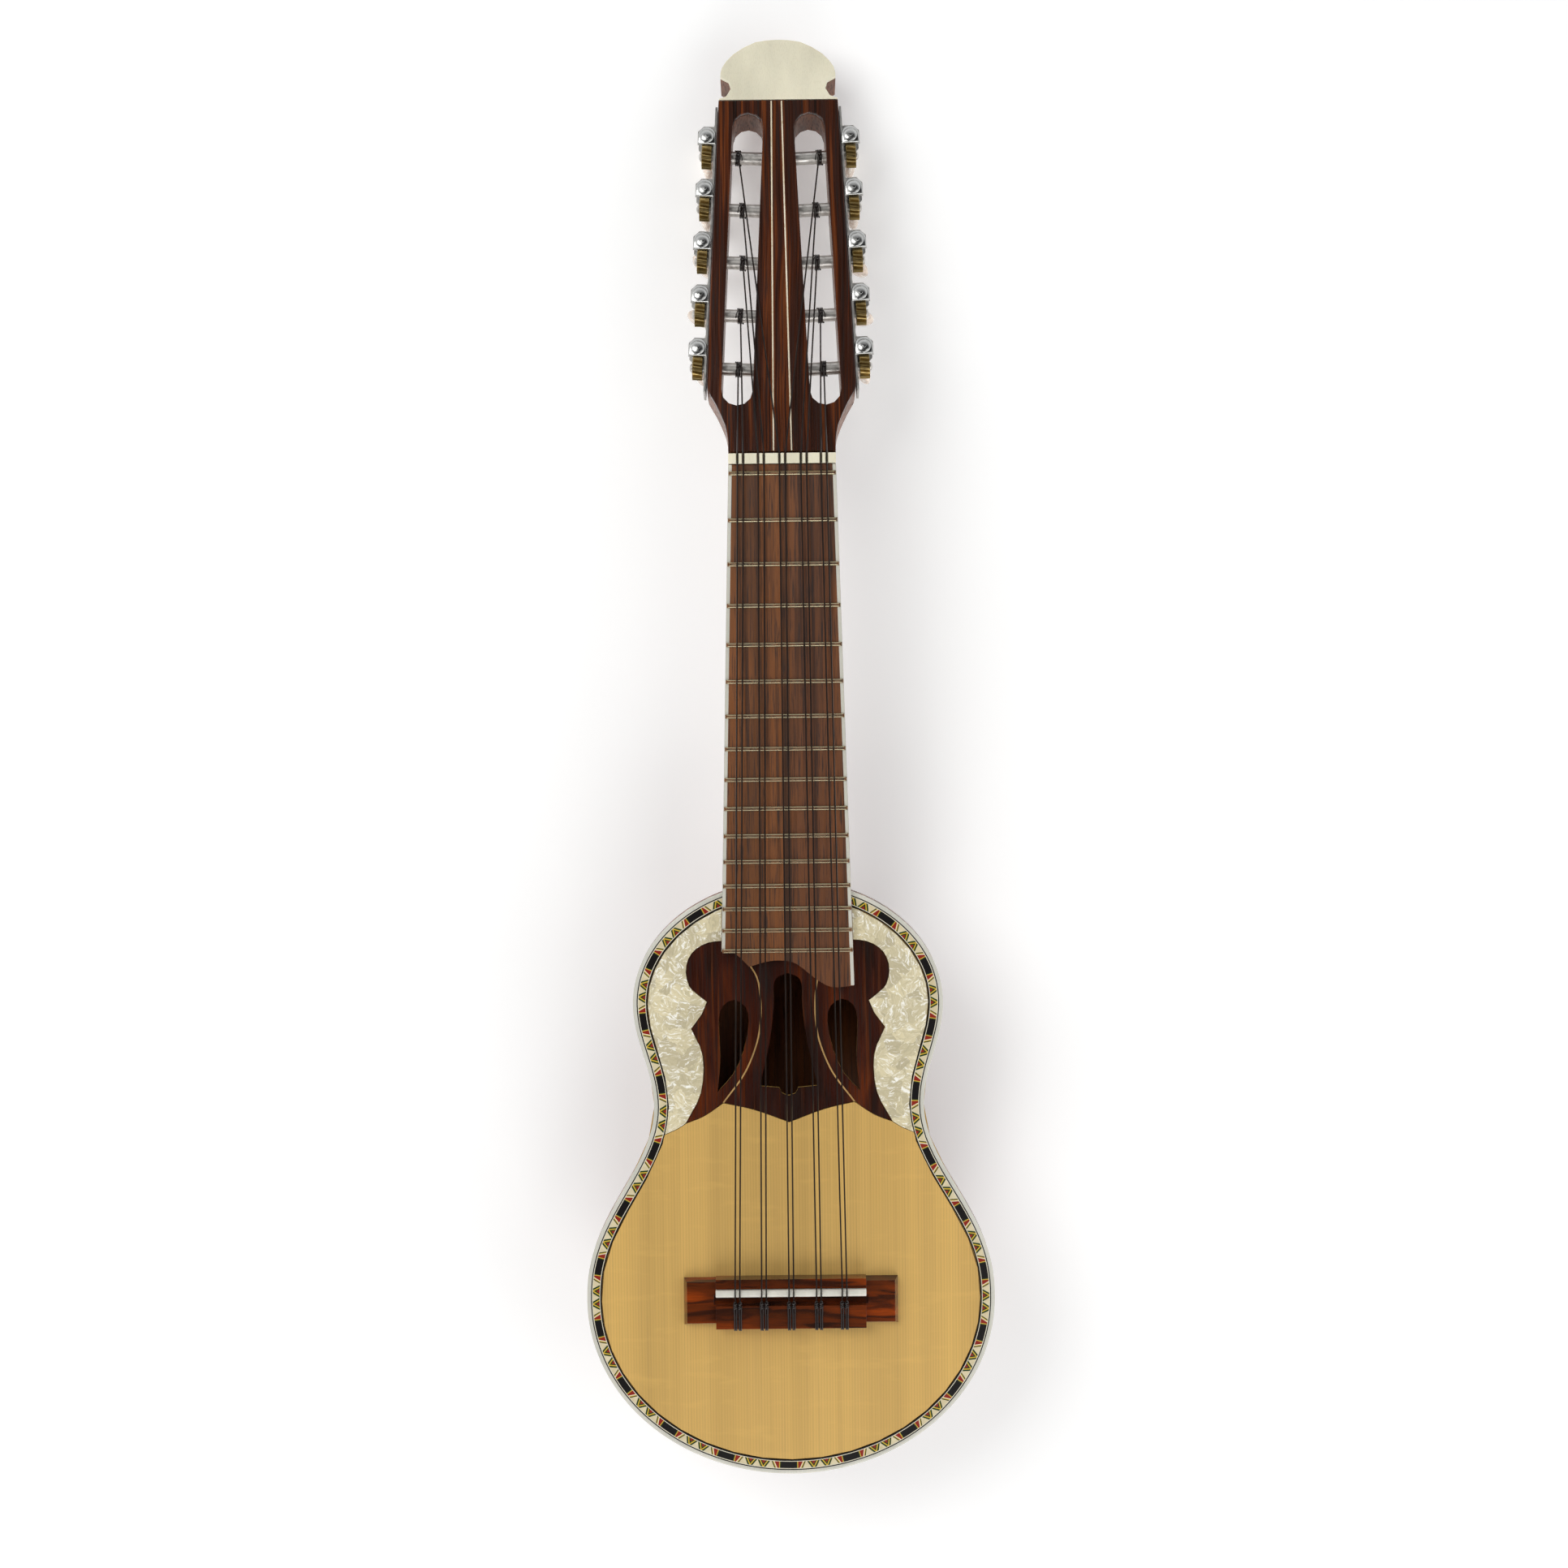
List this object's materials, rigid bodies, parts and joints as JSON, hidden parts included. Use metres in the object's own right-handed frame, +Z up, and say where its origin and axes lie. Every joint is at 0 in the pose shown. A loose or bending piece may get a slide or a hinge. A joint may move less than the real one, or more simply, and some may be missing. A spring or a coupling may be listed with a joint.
{
  "type": "charango",
  "caption": "Small ten-string lute with a waisted carved bowl body, inlaid soundboard, fretted neck and slotted head with geared side tuners.",
  "frame": {"origin": "On the table under the middle of the whole instrument, which lies on its back with its soundboard level.", "axes": "+X to the right seen from above with the head up, +Y from the tail to the head, +Z up, square to the soundboard."},
  "size_m": [0.187, 0.6596, 0.0843],
  "materials": {
    "reddish_cedar": "varnished, satin to gloss",
    "spruce": "varnished spruce, fine straight grain",
    "spruce_brace": "raw spruce",
    "dark_rosewood": "varnished, gloss",
    "rosewood_veneer": "varnished, satin",
    "brown_rosewood": "oiled, open grain",
    "figured_bridge_wood": "varnished, gloss",
    "pearloid": "pearloid celluloid sheet",
    "rim_marquetry": "celluloid binding and dyed wood marquetry",
    "ivory_plastic": "smooth",
    "bone": "polished bone",
    "nickel_steel": "nickel plated",
    "brass": "worn brass",
    "black_nylon": "nylon string"
  },
  "bodies": {
    "instrument": {"bowl": "reddish_cedar", "bridge": "figured_bridge_wood", "fingerboard": "brown_rosewood", "head_crest": "ivory_plastic", "head_veneer": "rosewood_veneer", "lower_brace": "spruce_brace", "neck": "reddish_cedar", "neck_block": "spruce_brace", "nut": "ivory_plastic", "pearl_inlay_left": "pearloid", "pearl_inlay_right": "pearloid", "rim_ring": "rim_marquetry", "rosette_bell": "dark_rosewood", "rosette_wing_left": "dark_rosewood", "rosette_wing_right": "dark_rosewood", "saddle": "bone", "soundboard": "spruce", "string_1": "black_nylon", "string_10": "black_nylon", "string_2": "black_nylon", "string_3": "black_nylon", "string_4": "black_nylon", "string_5": "black_nylon", "string_6": "black_nylon", "string_7": "black_nylon", "string_8": "black_nylon", "string_9": "black_nylon", "tuner_plate_left": "nickel_steel", "tuner_plate_right": "nickel_steel", "upper_brace": "spruce_brace"},
    "button_left_1": {"tuning_worm_left_1": "nickel_steel"},
    "roller_left_1": {"string_roller_left_1": "nickel_steel", "gear_left_1": "brass"},
    "button_left_2": {"tuning_worm_left_2": "nickel_steel"},
    "roller_left_2": {"string_roller_left_2": "nickel_steel", "gear_left_2": "brass"},
    "button_left_3": {"tuning_worm_left_3": "nickel_steel"},
    "roller_left_3": {"string_roller_left_3": "nickel_steel", "gear_left_3": "brass"},
    "button_left_4": {"tuning_worm_left_4": "nickel_steel"},
    "roller_left_4": {"string_roller_left_4": "nickel_steel", "gear_left_4": "brass"},
    "button_left_5": {"tuning_worm_left_5": "nickel_steel"},
    "roller_left_5": {"string_roller_left_5": "nickel_steel", "gear_left_5": "brass"},
    "button_right_1": {"tuning_worm_right_1": "nickel_steel"},
    "roller_right_1": {"string_roller_right_1": "nickel_steel", "gear_right_1": "brass"},
    "button_right_2": {"tuning_worm_right_2": "nickel_steel"},
    "roller_right_2": {"string_roller_right_2": "nickel_steel", "gear_right_2": "brass"},
    "button_right_3": {"tuning_worm_right_3": "nickel_steel"},
    "roller_right_3": {"string_roller_right_3": "nickel_steel", "gear_right_3": "brass"},
    "button_right_4": {"tuning_worm_right_4": "nickel_steel"},
    "roller_right_4": {"string_roller_right_4": "nickel_steel", "gear_right_4": "brass"},
    "button_right_5": {"tuning_worm_right_5": "nickel_steel"},
    "roller_right_5": {"string_roller_right_5": "nickel_steel", "gear_right_5": "brass"}
  },
  "joints": [
    {"name": "button_turn_left_1", "type": "hinge", "parent": "instrument", "child": "button_left_1", "pos_m": [-0.03746, 0.18408, 0.05516], "axis": [0, 0.2419, 0.9703], "continuous": true},
    {"name": "roller_turn_left_1", "type": "hinge", "parent": "instrument", "child": "roller_left_1", "pos_m": [-0.03779, 0.1771, 0.0569], "axis": [0.9989, -0.0445, 0.0111], "continuous": true},
    {"name": "button_turn_left_2", "type": "hinge", "parent": "instrument", "child": "button_left_2", "pos_m": [-0.03629, 0.20867, 0.04903], "axis": [0, 0.2419, 0.9703], "continuous": true},
    {"name": "roller_turn_left_2", "type": "hinge", "parent": "instrument", "child": "roller_left_2", "pos_m": [-0.03662, 0.20169, 0.05077], "axis": [0.9989, -0.0445, 0.0111], "continuous": true},
    {"name": "button_turn_left_3", "type": "hinge", "parent": "instrument", "child": "button_left_3", "pos_m": [-0.03513, 0.23327, 0.0429], "axis": [0, 0.2419, 0.9703], "continuous": true},
    {"name": "roller_turn_left_3", "type": "hinge", "parent": "instrument", "child": "roller_left_3", "pos_m": [-0.03546, 0.22629, 0.04464], "axis": [0.9989, -0.0445, 0.0111], "continuous": true},
    {"name": "button_turn_left_4", "type": "hinge", "parent": "instrument", "child": "button_left_4", "pos_m": [-0.03396, 0.25787, 0.03677], "axis": [0, 0.2419, 0.9703], "continuous": true},
    {"name": "roller_turn_left_4", "type": "hinge", "parent": "instrument", "child": "roller_left_4", "pos_m": [-0.03429, 0.25089, 0.03851], "axis": [0.9989, -0.0445, 0.0111], "continuous": true},
    {"name": "button_turn_left_5", "type": "hinge", "parent": "instrument", "child": "button_left_5", "pos_m": [-0.03279, 0.28246, 0.03063], "axis": [0, 0.2419, 0.9703], "continuous": true},
    {"name": "roller_turn_left_5", "type": "hinge", "parent": "instrument", "child": "roller_left_5", "pos_m": [-0.03313, 0.27548, 0.03237], "axis": [0.9989, -0.0445, 0.0111], "continuous": true},
    {"name": "button_turn_right_1", "type": "hinge", "parent": "instrument", "child": "button_right_1", "pos_m": [0.03746, 0.18408, 0.05516], "axis": [0, 0.2419, 0.9703], "continuous": true},
    {"name": "roller_turn_right_1", "type": "hinge", "parent": "instrument", "child": "roller_right_1", "pos_m": [0.03779, 0.1771, 0.0569], "axis": [0.9989, 0.0445, -0.0111], "continuous": true},
    {"name": "button_turn_right_2", "type": "hinge", "parent": "instrument", "child": "button_right_2", "pos_m": [0.03629, 0.20867, 0.04903], "axis": [0, 0.2419, 0.9703], "continuous": true},
    {"name": "roller_turn_right_2", "type": "hinge", "parent": "instrument", "child": "roller_right_2", "pos_m": [0.03662, 0.20169, 0.05077], "axis": [0.9989, 0.0445, -0.0111], "continuous": true},
    {"name": "button_turn_right_3", "type": "hinge", "parent": "instrument", "child": "button_right_3", "pos_m": [0.03513, 0.23327, 0.0429], "axis": [0, 0.2419, 0.9703], "continuous": true},
    {"name": "roller_turn_right_3", "type": "hinge", "parent": "instrument", "child": "roller_right_3", "pos_m": [0.03546, 0.22629, 0.04464], "axis": [0.9989, 0.0445, -0.0111], "continuous": true},
    {"name": "button_turn_right_4", "type": "hinge", "parent": "instrument", "child": "button_right_4", "pos_m": [0.03396, 0.25787, 0.03677], "axis": [0, 0.2419, 0.9703], "continuous": true},
    {"name": "roller_turn_right_4", "type": "hinge", "parent": "instrument", "child": "roller_right_4", "pos_m": [0.03429, 0.25089, 0.03851], "axis": [0.9989, 0.0445, -0.0111], "continuous": true},
    {"name": "button_turn_right_5", "type": "hinge", "parent": "instrument", "child": "button_right_5", "pos_m": [0.03279, 0.28246, 0.03063], "axis": [0, 0.2419, 0.9703], "continuous": true},
    {"name": "roller_turn_right_5", "type": "hinge", "parent": "instrument", "child": "roller_right_5", "pos_m": [0.03313, 0.27548, 0.03237], "axis": [0.9989, 0.0445, -0.0111], "continuous": true}
  ],
  "couplings": [
    {"joint": "roller_turn_left_1", "follows": "button_turn_left_1", "ratio": -0.071429},
    {"joint": "roller_turn_left_2", "follows": "button_turn_left_2", "ratio": -0.071429},
    {"joint": "roller_turn_left_3", "follows": "button_turn_left_3", "ratio": -0.071429},
    {"joint": "roller_turn_left_4", "follows": "button_turn_left_4", "ratio": -0.071429},
    {"joint": "roller_turn_left_5", "follows": "button_turn_left_5", "ratio": -0.071429},
    {"joint": "roller_turn_right_1", "follows": "button_turn_right_1", "ratio": -0.071429},
    {"joint": "roller_turn_right_2", "follows": "button_turn_right_2", "ratio": -0.071429},
    {"joint": "roller_turn_right_3", "follows": "button_turn_right_3", "ratio": -0.071429},
    {"joint": "roller_turn_right_4", "follows": "button_turn_right_4", "ratio": -0.071429},
    {"joint": "roller_turn_right_5", "follows": "button_turn_right_5", "ratio": -0.071429}
  ]
}
